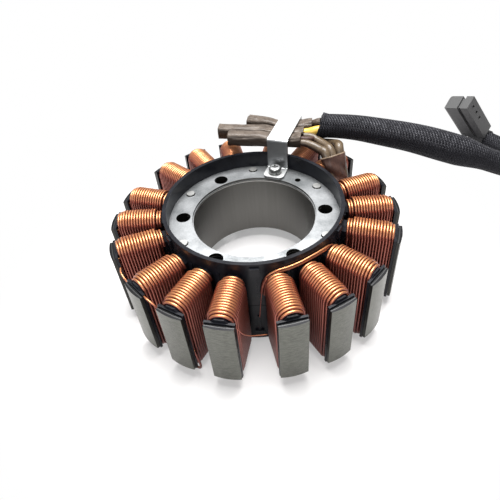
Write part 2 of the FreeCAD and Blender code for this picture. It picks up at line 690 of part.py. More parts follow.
def save(name, shape):
    """Write one node's file."""
    if not shape.isValid():
        print("not valid:", name)
    shape.exportStep("parts/%s.step" % name)


os.makedirs("parts", exist_ok=True)
save("core_laminations", core_laminations())
save("front_insulator", insulator_half(FRONT_COLLAR_H))
save("back_insulator", back_insulator())
winding = coil()
for number, angle in enumerate(pole_angles(), 1):
    save("coil_%02d" % number, turned(winding, angle))
save("core_rivets", core_rivets())
save("jumper_wires", jumper_wires())
save("lead_bracket", lead_bracket())
save("bracket_screw", bracket_screw())
save("lock_washer", lock_washer())
for number, sleeve_route in enumerate(SLEEVE_ROUTES, 1):
    save("splice_sleeve_%d" % number, splice_sleeve(sleeve_route))
    save("splice_crimp_%d" % number, splice_crimp(sleeve_route))
    save("winding_lead_%d" % number, winding_lead(sleeve_route, LEAD_ROUTES[number - 1],
                                                   number - 1))
    save("phase_wire_%d" % number, phase_wire(sleeve_route, PHASE_WIRE_VIA[number - 1],
                                              PHASE_WIRE_SEATS[number - 1]))
save("lead_wrap", lead_wrap())
save("harness", harness())
save("connector_housing", connector_housing())
save("connector_boot", connector_boot())
save("connector_terminals", connector_terminals())
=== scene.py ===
import math
import bpy
from mathutils import Matrix, Vector
from mathutils.noise import noise


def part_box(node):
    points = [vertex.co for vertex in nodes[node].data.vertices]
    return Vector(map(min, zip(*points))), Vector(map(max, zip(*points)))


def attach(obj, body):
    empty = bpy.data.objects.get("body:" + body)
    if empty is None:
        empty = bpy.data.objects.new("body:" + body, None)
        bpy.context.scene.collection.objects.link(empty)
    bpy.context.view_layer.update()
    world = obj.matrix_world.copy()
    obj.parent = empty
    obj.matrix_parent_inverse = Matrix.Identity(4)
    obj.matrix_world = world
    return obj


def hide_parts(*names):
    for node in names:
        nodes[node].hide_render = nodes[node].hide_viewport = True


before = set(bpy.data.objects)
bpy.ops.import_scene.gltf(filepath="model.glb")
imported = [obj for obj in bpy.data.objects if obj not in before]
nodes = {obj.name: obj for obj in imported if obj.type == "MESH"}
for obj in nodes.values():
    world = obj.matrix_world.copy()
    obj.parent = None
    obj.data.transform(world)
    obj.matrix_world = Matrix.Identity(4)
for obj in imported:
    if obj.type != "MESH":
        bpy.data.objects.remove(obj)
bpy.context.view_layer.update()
MM = 0.001


# Core
# A stack of thin varnished steel sheets, punched to a ring with eighteen poles and riveted.
# The sheets' edges show on the pole faces and in the bore; the top face is smooth and mottled.
SHEET_T = 0.5 * MM
BORE_SIDE_R = 30 * MM
POLE_HEAD_R = 60.5 * MM
HEAD_HIGHLIGHT_R = 61.75 * MM
STACK_TOP_Z = 31.5 * MM
END_SHEET_T = 1.6 * MM
SEAM_HALF = 0.13
SEAM_DEPTH = 0.2
HEAD_HIGHLIGHT_HALF = 0.16 * MM
BORE_RIM_HALF = 0.22 * MM
FACE_LIGHT = (0.43, 0.44, 0.45)
FACE_DARK = (0.19, 0.20, 0.205)
POLE_LIGHT = (0.125, 0.128, 0.112)
POLE_DARK = (0.078, 0.08, 0.07)
# The next three colours: a painted shade for side faces that also colours the seams between sheets, a painted shade for
# the pole heads' tops, and a painted highlight line on those tops.
HEAD_SIDE_SHADE_AND_SEAM = (0.035, 0.035, 0.032)
HEAD_TOP_SHADE = (0.012, 0.012, 0.013)
HEAD_RIM_HIGHLIGHT = (0.055, 0.055, 0.055)
BORE_LIGHT = (0.125, 0.122, 0.115)
BORE_DARK = (0.100, 0.097, 0.091)
BORE_RIM = (0.62, 0.61, 0.59)


def group_socket(group, name, kind="NodeSocketFloat", out=False, value=None):
    """Add a named socket to a shader or geometry group and set its default."""
    socket = group.interface.new_socket(name=name, in_out="OUTPUT" if out else "INPUT", socket_type=kind)
    if value is not None:
        socket.default_value = value
    return socket


def add_node(tree, kind, **settings):
    """Add a node; settings that name an input set or link it, others set the node itself."""
    node = tree.nodes.new(kind)
    for key, value in settings.items():
        if not key.startswith("in_"):
            setattr(node, key, value)
    for key, value in settings.items():
        if key.startswith("in_"):
            name = key[3:]
            socket = node.inputs[int(name)] if name.isdigit() else node.inputs[name.replace("_", " ")]
            if isinstance(value, bpy.types.NodeSocket):
                tree.links.new(value, socket)
            else:
                socket.default_value = value
    return node


def maths(tree, operation, *values, clamp=False):
    """Math node's output for one to three values or sockets."""
    node = add_node(tree, "ShaderNodeMath", operation=operation, use_clamp=clamp,
                    **{"in_%d" % i: value for i, value in enumerate(values)})
    return node.outputs[0]


def blend_colours(tree, factor, first, second):
    """Mixed colour of two colours or sockets."""
    mix = add_node(tree, "ShaderNodeMix", data_type="RGBA")
    for socket, value in ((mix.inputs[0], factor), (mix.inputs[6], first), (mix.inputs[7], second)):
        if isinstance(value, bpy.types.NodeSocket):
            tree.links.new(value, socket)
        elif isinstance(value, tuple):
            socket.default_value = (*value, 1)
        else:
            socket.default_value = value
    return mix.outputs[2]


def new_material(name, roughness, metallic=0.0):
    """Material with its tree and Principled shader."""
    material = bpy.data.materials.new(name)
    material.use_nodes = True
    tree = material.node_tree
    shader = tree.nodes["Principled BSDF"]
    shader.inputs["Roughness"].default_value = roughness
    shader.inputs["Metallic"].default_value = metallic
    return material, tree, shader


def mottle_group():
    """Cloudy and speckled variation over a surface, as a colour and a height."""
    group = bpy.data.node_groups.new("Mottle", "ShaderNodeTree")
    group_socket(group, "Light", "NodeSocketColor")
    group_socket(group, "Dark", "NodeSocketColor")
    group_socket(group, "Cloud Scale", value=90.0)
    group_socket(group, "Speck Scale", value=1800.0)
    group_socket(group, "Speck Share", value=0.35)
    group_socket(group, "Color", "NodeSocketColor", out=True)
    group_socket(group, "Height", out=True)
    inputs = add_node(group, "NodeGroupInput").outputs
    place = add_node(group, "ShaderNodeTexCoord").outputs["Object"]
    cloud = add_node(group, "ShaderNodeTexNoise", in_Vector=place, in_Scale=inputs["Cloud Scale"],
                     in_Detail=5.0, in_Roughness=0.6).outputs[0]
    speck = add_node(group, "ShaderNodeTexNoise", in_Vector=place, in_Scale=inputs["Speck Scale"],
                     in_Detail=2.0, in_Roughness=0.7).outputs[0]
    mixed = add_node(group, "ShaderNodeMix", in_0=inputs["Speck Share"], in_2=cloud, in_3=speck).outputs[0]
    spread = add_node(group, "ShaderNodeMapRange", in_Value=mixed, in_1=0.36, in_2=0.62).outputs[0]
    colour = blend_colours(group, spread, inputs["Dark"], inputs["Light"])
    add_node(group, "NodeGroupOutput", in_Color=colour, in_Height=mixed)
    return group


MOTTLE = mottle_group()


def mottled(tree, light, dark, cloud=90.0, speck=1800.0, share=0.35):
    """Place the mottle group in a material with its own values."""
    return add_node(tree, "ShaderNodeGroup", node_tree=MOTTLE, in_Light=(*light, 1), in_Dark=(*dark, 1),
                    in_Cloud_Scale=cloud, in_Speck_Scale=speck, in_Speck_Share=share)


def facing_up(tree):
    """How far a surface faces up: the Z of its normal."""
    normal = add_node(tree, "ShaderNodeNewGeometry").outputs["Normal"]
    return add_node(tree, "ShaderNodeSeparateXYZ", in_Vector=normal).outputs["Z"]


def lamination_material():
    """Varnished sheet steel: sheet lines and specks on upright faces, soft mottle on level ones; painted shade on
    upright faces that face neither outward nor into the bore and on the pole heads' tops, with a thin painted highlight
    line across those tops.
    """
    material, tree, shader = new_material("Varnished lamination steel", 0.38, 0.85)
    place = add_node(tree, "ShaderNodeTexCoord").outputs["Object"]
    axes = add_node(tree, "ShaderNodeSeparateXYZ", in_Vector=place).outputs
    normal = add_node(tree, "ShaderNodeNewGeometry").outputs["Normal"]
    facing = add_node(tree, "ShaderNodeSeparateXYZ", in_Vector=normal).outputs
    level = maths(tree, "GREATER_THAN", maths(tree, "ABSOLUTE", facing["Z"]), 0.7)
    radius = maths(tree, "SQRT", maths(tree, "ADD", maths(tree, "MULTIPLY", axes["X"], axes["X"]),
                                       maths(tree, "MULTIPLY", axes["Y"], axes["Y"])))
    outward = maths(tree, "DIVIDE", maths(tree, "ADD", maths(tree, "MULTIPLY", axes["X"], facing["X"]),
                                          maths(tree, "MULTIPLY", axes["Y"], facing["Y"])), radius)
    in_bore = maths(tree, "LESS_THAN", radius, BORE_SIDE_R)
    on_face = maths(tree, "GREATER_THAN", outward, 0.8)
    on_head = maths(tree, "GREATER_THAN", radius, POLE_HEAD_R)
    within = maths(tree, "FRACT", maths(tree, "DIVIDE", axes["Z"], SHEET_T))
    seam = maths(tree, "LESS_THAN", maths(tree, "ABSOLUTE", maths(tree, "SUBTRACT", within, 0.5)), SEAM_HALF)
    streak_place = add_node(tree, "ShaderNodeMapping", in_Vector=place, in_Scale=(480.0, 480.0, 2600.0)).outputs[0]
    streak = add_node(tree, "ShaderNodeTexNoise", in_Vector=streak_place, in_Scale=1.0, in_Detail=3.0,
                      in_Roughness=0.7).outputs[0]
    streaks = add_node(tree, "ShaderNodeMapRange", in_Value=streak, in_1=0.38, in_2=0.62).outputs[0]
    drawn_place = add_node(tree, "ShaderNodeMapping", in_Vector=place, in_Scale=(900.0, 900.0, 25.0)).outputs[0]
    drawn = add_node(tree, "ShaderNodeTexNoise", in_Vector=drawn_place, in_Scale=1.0, in_Detail=2.0).outputs[0]
    top = mottled(tree, FACE_LIGHT, FACE_DARK, 70.0, 1300.0, 0.22)
    pole = blend_colours(tree, streaks, POLE_DARK, POLE_LIGHT)
    bore = blend_colours(tree, drawn, BORE_DARK, BORE_LIGHT)
    rim_height = maths(tree, "ABSOLUTE", maths(tree, "SUBTRACT", axes["Z"], STACK_TOP_Z - END_SHEET_T))
    bore_rim = maths(tree, "LESS_THAN", rim_height, BORE_RIM_HALF)
    bore = blend_colours(tree, maths(tree, "MULTIPLY", bore_rim, 0.7), bore, BORE_RIM)
    # Upright faces that face neither outward nor into the bore get a dark painted shade colour; the same dark colour
    # also marks the real seams between sheets.
    side = blend_colours(tree, on_face, HEAD_SIDE_SHADE_AND_SEAM, pole)
    side = blend_colours(tree, in_bore, side, bore)
    seamed = blend_colours(tree, maths(tree, "MULTIPLY", seam, SEAM_DEPTH), side, HEAD_SIDE_SHADE_AND_SEAM)
    # Level tops of the pole heads: painted shade, near black, with a thin painted highlight line at a set radius.
    from_highlight = maths(tree, "ABSOLUTE", maths(tree, "SUBTRACT", radius, HEAD_HIGHLIGHT_R))
    rim_highlight = maths(tree, "LESS_THAN", from_highlight, HEAD_HIGHLIGHT_HALF)
    head_top_shade_and_highlight = blend_colours(tree, rim_highlight, HEAD_TOP_SHADE, HEAD_RIM_HIGHLIGHT)
    level_colour = blend_colours(tree, on_head, top.outputs["Color"], head_top_shade_and_highlight)
    tree.links.new(blend_colours(tree, level, seamed, level_colour), shader.inputs["Base Color"])
    upright = maths(tree, "SUBTRACT", 1.0, level)
    rise = maths(tree, "MULTIPLY", maths(tree, "SUBTRACT", 1.0, seam), upright)
    height = maths(tree, "ADD", maths(tree, "MULTIPLY", rise, 0.5),
                   maths(tree, "MULTIPLY", maths(tree, "MULTIPLY", streak, upright), 0.5))
    bump = add_node(tree, "ShaderNodeBump", in_Height=height, in_Strength=0.3, in_Distance=0.05 * MM)
    tree.links.new(bump.outputs[0], shader.inputs["Normal"])
    return material


def finish_node(name, material):
    """Give a CAD node its material."""
    mesh = nodes[name].data
    mesh.materials.clear()
    mesh.materials.append(material)


finish_node("core_laminations", lamination_material())


# Insulator halves
# Two glossy black resin mouldings that slip over the core from front and back.
# Each has a collar round the yoke, a trough over every tooth and a thin flange behind each pole.
RESIN_BLACK = (0.004, 0.004, 0.006)
RESIN_DUSTY = (0.009, 0.010, 0.014)


def resin_material():
    """Glossy black moulded resin with a faint unevenness."""
    material, tree, shader = new_material("Glossy black resin", 0.2)
    shader.inputs["Specular IOR Level"].default_value = 0.2
    film = mottled(tree, RESIN_DUSTY, RESIN_BLACK, 160.0, 1200.0, 0.3)
    tree.links.new(film.outputs["Color"], shader.inputs["Base Color"])
    rough = add_node(tree, "ShaderNodeMapRange", in_Value=film.outputs["Height"], in_1=0.35, in_2=0.65,
                     in_3=0.26, in_4=0.4)
    tree.links.new(rough.outputs[0], shader.inputs["Roughness"])
    return material


resin = resin_material()
finish_node("front_insulator", resin)
finish_node("back_insulator", resin)


# Windings
# Enamelled copper wire wound on each insulated tooth, sixteen turns to the outer layer,
# with the last turns at the hub and at the pole dropping to the layer below.
WIRE_D = 1.17 * MM
WIRE_PITCH = 1.2 * MM
OUTER_TURNS = 16
FIRST_TURN_R = 40.8 * MM
COIL_W = 10.25 * MM
COIL_H = 39.1 * MM
COIL_ARCH = 4.85 * MM
COIL_MID_Z = 15.75 * MM
LAYER_T = 1.0 * MM
HUB_LOW_TURNS = 2.0
TIP_LOW_TURNS = 2.4
HUB_DROP = 4.0
TIP_DROP = 0.55
TURN_WANDER = 0.045 * MM
POLES = 18
POLES_A_GROUP = 3
GROUP_TURN = math.radians(60)
POLE_TURN = math.radians(18)
COPPER_LIGHT = (0.72, 0.33, 0.135)
COPPER_DARK = (0.55, 0.21, 0.09)
# Painted shade colours for steep wire, higher and lower.
COPPER_SIDE_SHADE = (0.26, 0.08, 0.058)
COPPER_LOW_SHADE = (0.14, 0.044, 0.038)


def copper_material():
    """Copper under clear enamel: painted light where the wire faces up, a redder painted shade where it lies steep,
    that shade darker toward the back of the poles, low down.
    """
    material, tree, shader = new_material("Enamelled copper wire", 0.38, 0.9)
    tint = mottled(tree, COPPER_LIGHT, COPPER_DARK, 120.0, 500.0, 0.15)
    up = facing_up(tree)
    # Faces turned up take the copper tint as painted light; steep faces take a painted shade colour.
    painted_light_share = add_node(tree, "ShaderNodeMapRange", in_Value=up, in_1=0.35, in_2=1.0).outputs[0]
    place = add_node(tree, "ShaderNodeTexCoord").outputs["Object"]
    level = add_node(tree, "ShaderNodeSeparateXYZ", in_Vector=place).outputs["Z"]
    # The steep-face shade gets darker lower down: painted shade.
    shade_height_share = add_node(tree, "ShaderNodeMapRange", in_Value=level, in_1=4 * MM, in_2=30 * MM).outputs[0]
    side = blend_colours(tree, shade_height_share, COPPER_LOW_SHADE, COPPER_SIDE_SHADE)
    tree.links.new(blend_colours(tree, painted_light_share, side, tint.outputs["Color"]), shader.inputs["Base Color"])
    shader.inputs["Coat Weight"].default_value = 0.15
    shader.inputs["Coat Roughness"].default_value = 0.3
    return material


def winding_tree():
    """Geometry Nodes: one layer's wire as a helix round a tooth, on every pole of the ring."""
    tree = bpy.data.node_groups.new("Wound poles", "GeometryNodeTree")
    for name, value in (("Width", COIL_W), ("Height", COIL_H), ("Arch", COIL_ARCH), ("Layer", LAYER_T),
                        ("Pitch", WIRE_PITCH), ("Wire", WIRE_D), ("First turn", FIRST_TURN_R),
                        ("Middle", COIL_MID_Z), ("Hub low", HUB_LOW_TURNS), ("Tip low", TIP_LOW_TURNS),
                        ("Hub drop", HUB_DROP), ("Tip drop", TIP_DROP), ("Wander", TURN_WANDER),
                        ("Group turn", GROUP_TURN), ("Pole turn", POLE_TURN)):
        group_socket(tree, name, value=value)
    group_socket(tree, "Turns", "NodeSocketInt", value=OUTER_TURNS)
    group_socket(tree, "Poles", "NodeSocketInt", value=POLES)
    group_socket(tree, "Poles a group", "NodeSocketInt", value=POLES_A_GROUP)
    group_socket(tree, "Finish", "NodeSocketMaterial")
    group_socket(tree, "Geometry", "NodeSocketGeometry", out=True)
    inputs = add_node(tree, "NodeGroupInput").outputs

    def loop(inset):
        """Points of one turn, moved in by a distance."""
        twice = maths(tree, "MULTIPLY", inset, 2.0)
        box = add_node(tree, "GeometryNodeCurvePrimitiveQuadrilateral",
                       in_Width=maths(tree, "SUBTRACT", inputs["Width"], twice),
                       in_Height=maths(tree, "SUBTRACT", inputs["Height"], twice))
        return add_node(tree, "GeometryNodeFilletCurve", mode="POLY", in_Curve=box.outputs[0], in_Count=8,
                        in_Radius=maths(tree, "SUBTRACT", inputs["Arch"], inset)).outputs[0]

    outer = loop(0.0)
    inner = loop(inputs["Layer"])
    size = add_node(tree, "GeometryNodeAttributeDomainSize", component="CURVE", in_0=outer)
    per_turn = size.outputs["Point Count"]
    count = maths(tree, "ADD", maths(tree, "MULTIPLY", per_turn, inputs["Turns"]), 1.0)
    line = add_node(tree, "GeometryNodeMeshLine", in_Count=count).outputs[0]
    index = add_node(tree, "GeometryNodeInputIndex").outputs[0]
    turn = maths(tree, "DIVIDE", index, per_turn)
    step = maths(tree, "MODULO", index, per_turn)
    place = add_node(tree, "GeometryNodeInputPosition").outputs[0]

    def sampled(curve):
        """Where the wire lies on a loop at this step."""
        return add_node(tree, "GeometryNodeSampleIndex", data_type="FLOAT_VECTOR", in_Geometry=curve,
                        in_Value=place, in_Index=step).outputs[0]

    from_tip = maths(tree, "SUBTRACT", inputs["Turns"], turn)
    at_hub = maths(tree, "SUBTRACT", inputs["Hub low"], turn)
    at_tip = maths(tree, "SUBTRACT", inputs["Tip low"], from_tip)
    low = maths(tree, "MAXIMUM", maths(tree, "MULTIPLY", at_hub, inputs["Hub drop"], clamp=True),
                maths(tree, "MULTIPLY", at_tip, inputs["Tip drop"], clamp=True))
    on_loop = add_node(tree, "ShaderNodeMix", data_type="VECTOR", in_0=low, in_4=sampled(outer),
                       in_5=sampled(inner)).outputs[1]
    sides = add_node(tree, "ShaderNodeSeparateXYZ", in_Vector=on_loop).outputs
    out = maths(tree, "ADD", inputs["First turn"], maths(tree, "MULTIPLY", turn, inputs["Pitch"]))
    height = maths(tree, "ADD", sides["Y"], inputs["Middle"])
    point = add_node(tree, "ShaderNodeCombineXYZ", in_X=out, in_Y=sides["X"], in_Z=height).outputs[0]
    helix = add_node(tree, "GeometryNodeSetPosition", in_Geometry=line, in_Position=point).outputs[0]
    wire = add_node(tree, "GeometryNodeMeshToCurve", in_Mesh=helix).outputs[0]
    seats = add_node(tree, "GeometryNodeMeshLine", in_Count=inputs["Poles"], in_Offset=(0, 0, 0)).outputs[0]
    group = maths(tree, "FLOOR", maths(tree, "DIVIDE", index, inputs["Poles a group"]))
    in_group = maths(tree, "SUBTRACT", maths(tree, "MODULO", index, inputs["Poles a group"]), 1.0)
    angle = maths(tree, "ADD", maths(tree, "MULTIPLY", group, inputs["Group turn"]),
                  maths(tree, "MULTIPLY", in_group, inputs["Pole turn"]))
    turned = add_node(tree, "ShaderNodeCombineXYZ", in_Z=angle).outputs[0]
    placed = add_node(tree, "GeometryNodeInstanceOnPoints", in_Points=seats, in_Instance=wire,
                      in_Rotation=turned).outputs[0]
    wires = add_node(tree, "GeometryNodeRealizeInstances", in_Geometry=placed).outputs[0]
    wobble = add_node(tree, "ShaderNodeTexNoise", in_Vector=place, in_Scale=150.0, in_Detail=0.0).outputs[1]
    centred = add_node(tree, "ShaderNodeVectorMath", operation="SUBTRACT", in_0=wobble,
                       in_1=(0.5, 0.5, 0.5)).outputs[0]
    push = add_node(tree, "ShaderNodeVectorMath", operation="SCALE", in_0=centred,
                    in_Scale=maths(tree, "MULTIPLY", inputs["Wander"], 2.0)).outputs[0]
    uneven = add_node(tree, "GeometryNodeSetPosition", in_Geometry=wires, in_Offset=push).outputs[0]
    section = add_node(tree, "GeometryNodeCurvePrimitiveCircle", in_Resolution=12,
                       in_Radius=maths(tree, "MULTIPLY", inputs["Wire"], 0.5)).outputs[0]
    rods = add_node(tree, "GeometryNodeCurveToMesh", in_Curve=uneven, in_Profile_Curve=section,
                    in_Fill_Caps=True).outputs[0]
    smooth = add_node(tree, "GeometryNodeSetShadeSmooth", in_Geometry=rods).outputs[0]
    solid = add_node(tree, "GeometryNodeRealizeInstances", in_Geometry=smooth).outputs[0]
    done = add_node(tree, "GeometryNodeSetMaterial", in_Geometry=solid, in_Material=inputs["Finish"]).outputs[0]
    add_node(tree, "NodeGroupOutput", in_Geometry=done)
    return tree


def grown(name, tree, values):
    """Plain mesh object made by a Geometry Nodes tree with its inputs set by name."""
    seed = bpy.data.objects.new(name + " seed", bpy.data.meshes.new(name + " seed"))
    bpy.context.scene.collection.objects.link(seed)
    modifier = seed.modifiers.new(name, "NODES")
    modifier.node_group = tree
    for item in tree.interface.items_tree:
        if item.item_type == "SOCKET" and item.in_out == "INPUT" and item.name in values:
            modifier[item.identifier] = values[item.name]
    bpy.context.view_layer.update()
    evaluated = seed.evaluated_get(bpy.context.evaluated_depsgraph_get())
    mesh = bpy.data.meshes.new_from_object(evaluated)
    seed.modifiers.remove(modifier)
    bpy.data.objects.remove(seed)
    made = bpy.data.objects.new(name, mesh)
    bpy.context.scene.collection.objects.link(made)
    return made


copper = copper_material()
windings = grown("windings", winding_tree(), {"Finish": copper})
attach(windings, "root")
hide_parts(*["coil_%02d" % number for number in range(1, POLES + 1)])


# Rivets and jumper wires
# Six steel rivets, set over at both ends, close the stack of sheets. Two enamelled wires lie
# round the front collar between the coils and link the windings.
finish_node("jumper_wires", copper)
RIVET_LIGHT = (0.46, 0.46, 0.45)
RIVET_DARK = (0.32, 0.32, 0.31)
# Painted shade colour for the rivets' upright faces.
RIVET_SIDE_SHADE = (0.06, 0.06, 0.058)


def plated_material(name, light, dark, side, roughness, brush=0.0):
    """Plated steel with faint cloudiness; upright faces take a darker painted shade colour, with fine upright brushing
    if wanted.
    """
    material, tree, shader = new_material(name, roughness, 0.9)
    film = mottled(tree, light, dark, 160.0, 1600.0, 0.3)
    up = facing_up(tree)
    shade = add_node(tree, "ShaderNodeMapRange", in_Value=up, in_1=0.45, in_2=0.95).outputs[0]
    # Faces that turn away from up blend to the side colour: painted shade.
    colour = blend_colours(tree, shade, side, film.outputs["Color"])
    tree.links.new(colour, shader.inputs["Base Color"])
    if brush:
        place = add_node(tree, "ShaderNodeTexCoord").outputs["Object"]
        drawn = add_node(tree, "ShaderNodeMapping", in_Vector=place, in_Scale=(1500.0, 1500.0, 60.0)).outputs[0]
        lines = add_node(tree, "ShaderNodeTexNoise", in_Vector=drawn, in_Scale=1.0, in_Detail=2.0).outputs[0]
        bump = add_node(tree, "ShaderNodeBump", in_Height=lines, in_Strength=brush, in_Distance=0.03 * MM)
        tree.links.new(bump.outputs[0], shader.inputs["Normal"])
    return material


finish_node("core_rivets", plated_material("Rivet steel", RIVET_LIGHT, RIVET_DARK, RIVET_SIDE_SHADE, 0.4))


# Lead bracket, screw and washer
# A strap of zinc-plated sheet, screwed to the core's face through a split spring washer;
# its top and turned-down tail hold the splices.
ZINC_LIGHT = (0.93, 0.935, 0.93)
ZINC_DARK = (0.80, 0.81, 0.81)
# The two upright colours below are painted shade for upright faces.
ZINC_UPRIGHT_SHADE = (0.17, 0.175, 0.18)
SCREW_SIDE_SHADE = (0.12, 0.122, 0.12)
finish_node("lead_bracket", plated_material("Bright zinc plate", ZINC_LIGHT, ZINC_DARK, ZINC_UPRIGHT_SHADE, 0.38, 0.35))
screw_zinc = plated_material("Zinc-plated screw", ZINC_LIGHT, ZINC_DARK, SCREW_SIDE_SHADE, 0.28)
for name in ("bracket_screw", "lock_washer"):
    finish_node(name, screw_zinc)


# Splice sleeves
# Three woven glass sleeves, varnished and pressed flat, over the crimps where the winding leads
# join the phase wires. The strap clamps them side by side; their ends stay open.
SLEEVE_Z = 43.9
SLEEVE_ROUTES = [
    [(-11.0, 44.2), (0.0, 42.28), (11.0, 40.36), (24.0, 38.08)],
    [(-16.0, 51.6), (-2.0, 49.15), (12.0, 46.69), (25.9, 44.26)],
    [(-1.0, 59.2), (7.0, 55.92), (14.5, 52.9), (20.0, 52.2), (30.6, 51.0)],
]
STRAP_PLACE = [26.0, 33.4, 21.6]
STRAP_GRIP = 5.5
CREASE_RUN = 5
SLEEVE_BULGE = 0.34
SLEEVE_HALF_W = 3.2 * MM
SLEEVE_HALF_H = 2.6 * MM
SLEEVE_WALL = 0.3 * MM
SLEEVE_AROUND = 56
SLEEVE_STEPS = 60
SLEEVE_CREASE = 0.62 * MM
SLEEVE_ROUNDING = 0.62
SLEEVE_LIGHT = (0.155, 0.122, 0.096)
SLEEVE_DARK = (0.052, 0.037, 0.027)
# Painted shade colour for the sleeves' sides.
SLEEVE_SIDE_SHADE = (0.022, 0.013, 0.008)
WEAVE_PITCH = 0.55 * MM


def spline_points(name, points, closer=10):
    """Positions in metres along a NURBS spline through given points in millimetres."""
    curve = bpy.data.curves.new(name, "CURVE")
    curve.dimensions = "3D"
    spline = curve.splines.new("NURBS")
    spline.points.add(len(points) - 1)
    for point, place in zip(spline.points, points):
        point.co = (*(value * MM for value in place), 1)
    spline.order_u = 3
    spline.use_endpoint_u = True
    curve.resolution_u = closer
    carrier = bpy.data.objects.new(name, curve)
    line = bpy.data.meshes.new_from_object(carrier)
    places = [vertex.co.copy() for vertex in line.vertices]
    bpy.data.objects.remove(carrier)
    return places


def even_steps(places, steps):
    """Points at even distances along a polyline, and its length."""
    lengths = [0.0]
    for near, far in zip(places, places[1:]):
        lengths.append(lengths[-1] + (far - near).length)
    spaced = []
    k = 0
    for step in range(steps + 1):
        target = lengths[-1] * step / steps
        while k < len(places) - 2 and lengths[k + 1] < target:
            k += 1
        share = (target - lengths[k]) / max(lengths[k + 1] - lengths[k], 1e-9)
        spaced.append(places[k].lerp(places[k + 1], min(share, 1.0)))
    return spaced, lengths[-1]


def swept(name, places, steps, around, section, open_ends=False):
    """Mesh tube along a polyline. section(turn, share) gives the side and up offsets of its wall;
    the UV map runs once round it and along it in metres."""
    centres, length = even_steps(places, steps)
    vertices = []
    for i, centre in enumerate(centres):
        along = (centres[min(i + 1, steps)] - centres[max(i - 1, 0)]).normalized()
        side = along.cross(Vector((0, 0, 1))).normalized()
        rise = side.cross(along)
        for j in range(around):
            across, up = section(j / around, i / steps)
            vertices.append(centre + side * across + rise * up)
    faces = []
    for i in range(steps):
        for j in range(around):
            k = (j + 1) % around
            faces.append((i * around + j, i * around + k, (i + 1) * around + k, (i + 1) * around + j))
    if not open_ends:
        faces.append(tuple(reversed(range(around))))
        faces.append(tuple(steps * around + j for j in range(around)))
    mesh = bpy.data.meshes.new(name)
    mesh.from_pydata(vertices, [], faces)
    uv = mesh.uv_layers.new(name="UVMap").data
    for polygon in mesh.polygons:
        cells = [mesh.loops[k].vertex_index for k in polygon.loop_indices]
        wraps = len(cells) == 4 and any(cell % around == around - 1 for cell in cells)
        for k, cell in zip(polygon.loop_indices, cells):
            j = cell % around
            turn = 1.0 if wraps and j == 0 else j / around
            uv[k].uv = (turn, length * (cell // around) / steps)
        polygon.use_smooth = len(cells) == 4
    mesh.update()
    made = bpy.data.objects.new(name, mesh)
    bpy.context.scene.collection.objects.link(made)
    return made


def weave_group():
    """Plain weave over a UV map in metres: how high each strand stands."""
    group = bpy.data.node_groups.new("Weave", "ShaderNodeTree")
    group_socket(group, "Around", value=24.0)
    group_socket(group, "Pitch", value=WEAVE_PITCH)
    group_socket(group, "Height", out=True)
    inputs = add_node(group, "NodeGroupInput").outputs
    uv = add_node(group, "ShaderNodeUVMap", uv_map="UVMap").outputs[0]
    axes = add_node(group, "ShaderNodeSeparateXYZ", in_Vector=uv).outputs
    turn = maths(group, "MULTIPLY", axes["X"], inputs["Around"])
    along = maths(group, "DIVIDE", axes["Y"], inputs["Pitch"])
    first = maths(group, "ADD", turn, along)
    second = maths(group, "SUBTRACT", turn, along)
    waves = [maths(group, "ABSOLUTE", maths(group, "SINE", maths(group, "MULTIPLY", way, math.pi)))
             for way in (first, second)]
    parity = maths(group, "MODULO", maths(group, "ABSOLUTE", maths(
        group, "ADD", maths(group, "FLOOR", first), maths(group, "FLOOR", second))), 2.0)
    over = maths(group, "GREATER_THAN", parity, 0.5)
    height = add_node(group, "ShaderNodeMix", in_0=over, in_2=waves[0], in_3=waves[1]).outputs[0]
    add_node(group, "NodeGroupOutput", in_Height=height)
    return group


WEAVE = weave_group()


def sleeving_material(name, light, dark, side, around, roughness, rise, gloss=0.1, creases=0.0, pale_end=0.0):
    """Varnished woven sleeving, paler on top as painted light, with painted shade on its sides and in the weave's
    grooves, and a pale cut end.
    """
    material, tree, shader = new_material(name, roughness)
    weave = add_node(tree, "ShaderNodeGroup", node_tree=WEAVE, in_Around=around, in_Pitch=WEAVE_PITCH)
    tint = mottled(tree, light, dark, 260.0, 1100.0, 0.25)
    # The weave's grooves lean to the dark tone: painted shade.
    weave_groove_shade = maths(tree, "MULTIPLY", weave.outputs["Height"], 0.75)
    top = blend_colours(tree, maths(tree, "ADD", weave_groove_shade, 0.25), dark, tint.outputs["Color"])
    # Faces turned down or sideways take the side colour: painted shade.
    up = facing_up(tree)
    shade = add_node(tree, "ShaderNodeMapRange", in_Value=up, in_1=0.1, in_2=0.75).outputs[0]
    colour = blend_colours(tree, shade, side, top)
    if pale_end:
        uv = add_node(tree, "ShaderNodeUVMap", uv_map="UVMap").outputs[0]
        along = add_node(tree, "ShaderNodeSeparateXYZ", in_Vector=uv).outputs["Y"]
        colour = blend_colours(tree, maths(tree, "LESS_THAN", along, pale_end), colour, WRAP_RIM)
    tree.links.new(colour, shader.inputs["Base Color"])
    shader.inputs["Specular IOR Level"].default_value = 0.3
    shader.inputs["Coat Weight"].default_value = gloss
    shader.inputs["Coat Roughness"].default_value = 0.22
    bump = add_node(tree, "ShaderNodeBump", in_Height=weave.outputs["Height"], in_Strength=rise,
                    in_Distance=0.12 * MM)
    if creases:
        wall = add_node(tree, "ShaderNodeUVMap", uv_map="UVMap").outputs[0]
        drawn = add_node(tree, "ShaderNodeMapping", in_Vector=wall, in_Scale=(11.0, 130.0, 1.0)).outputs[0]
        folds = add_node(tree, "ShaderNodeTexNoise", in_Vector=drawn, in_Scale=1.0, in_Detail=3.0).outputs[0]
        bump = add_node(tree, "ShaderNodeBump", in_Height=folds, in_Strength=creases, in_Distance=1.2 * MM,
                        in_Normal=bump.outputs[0])
    tree.links.new(bump.outputs[0], shader.inputs["Normal"])
    return material


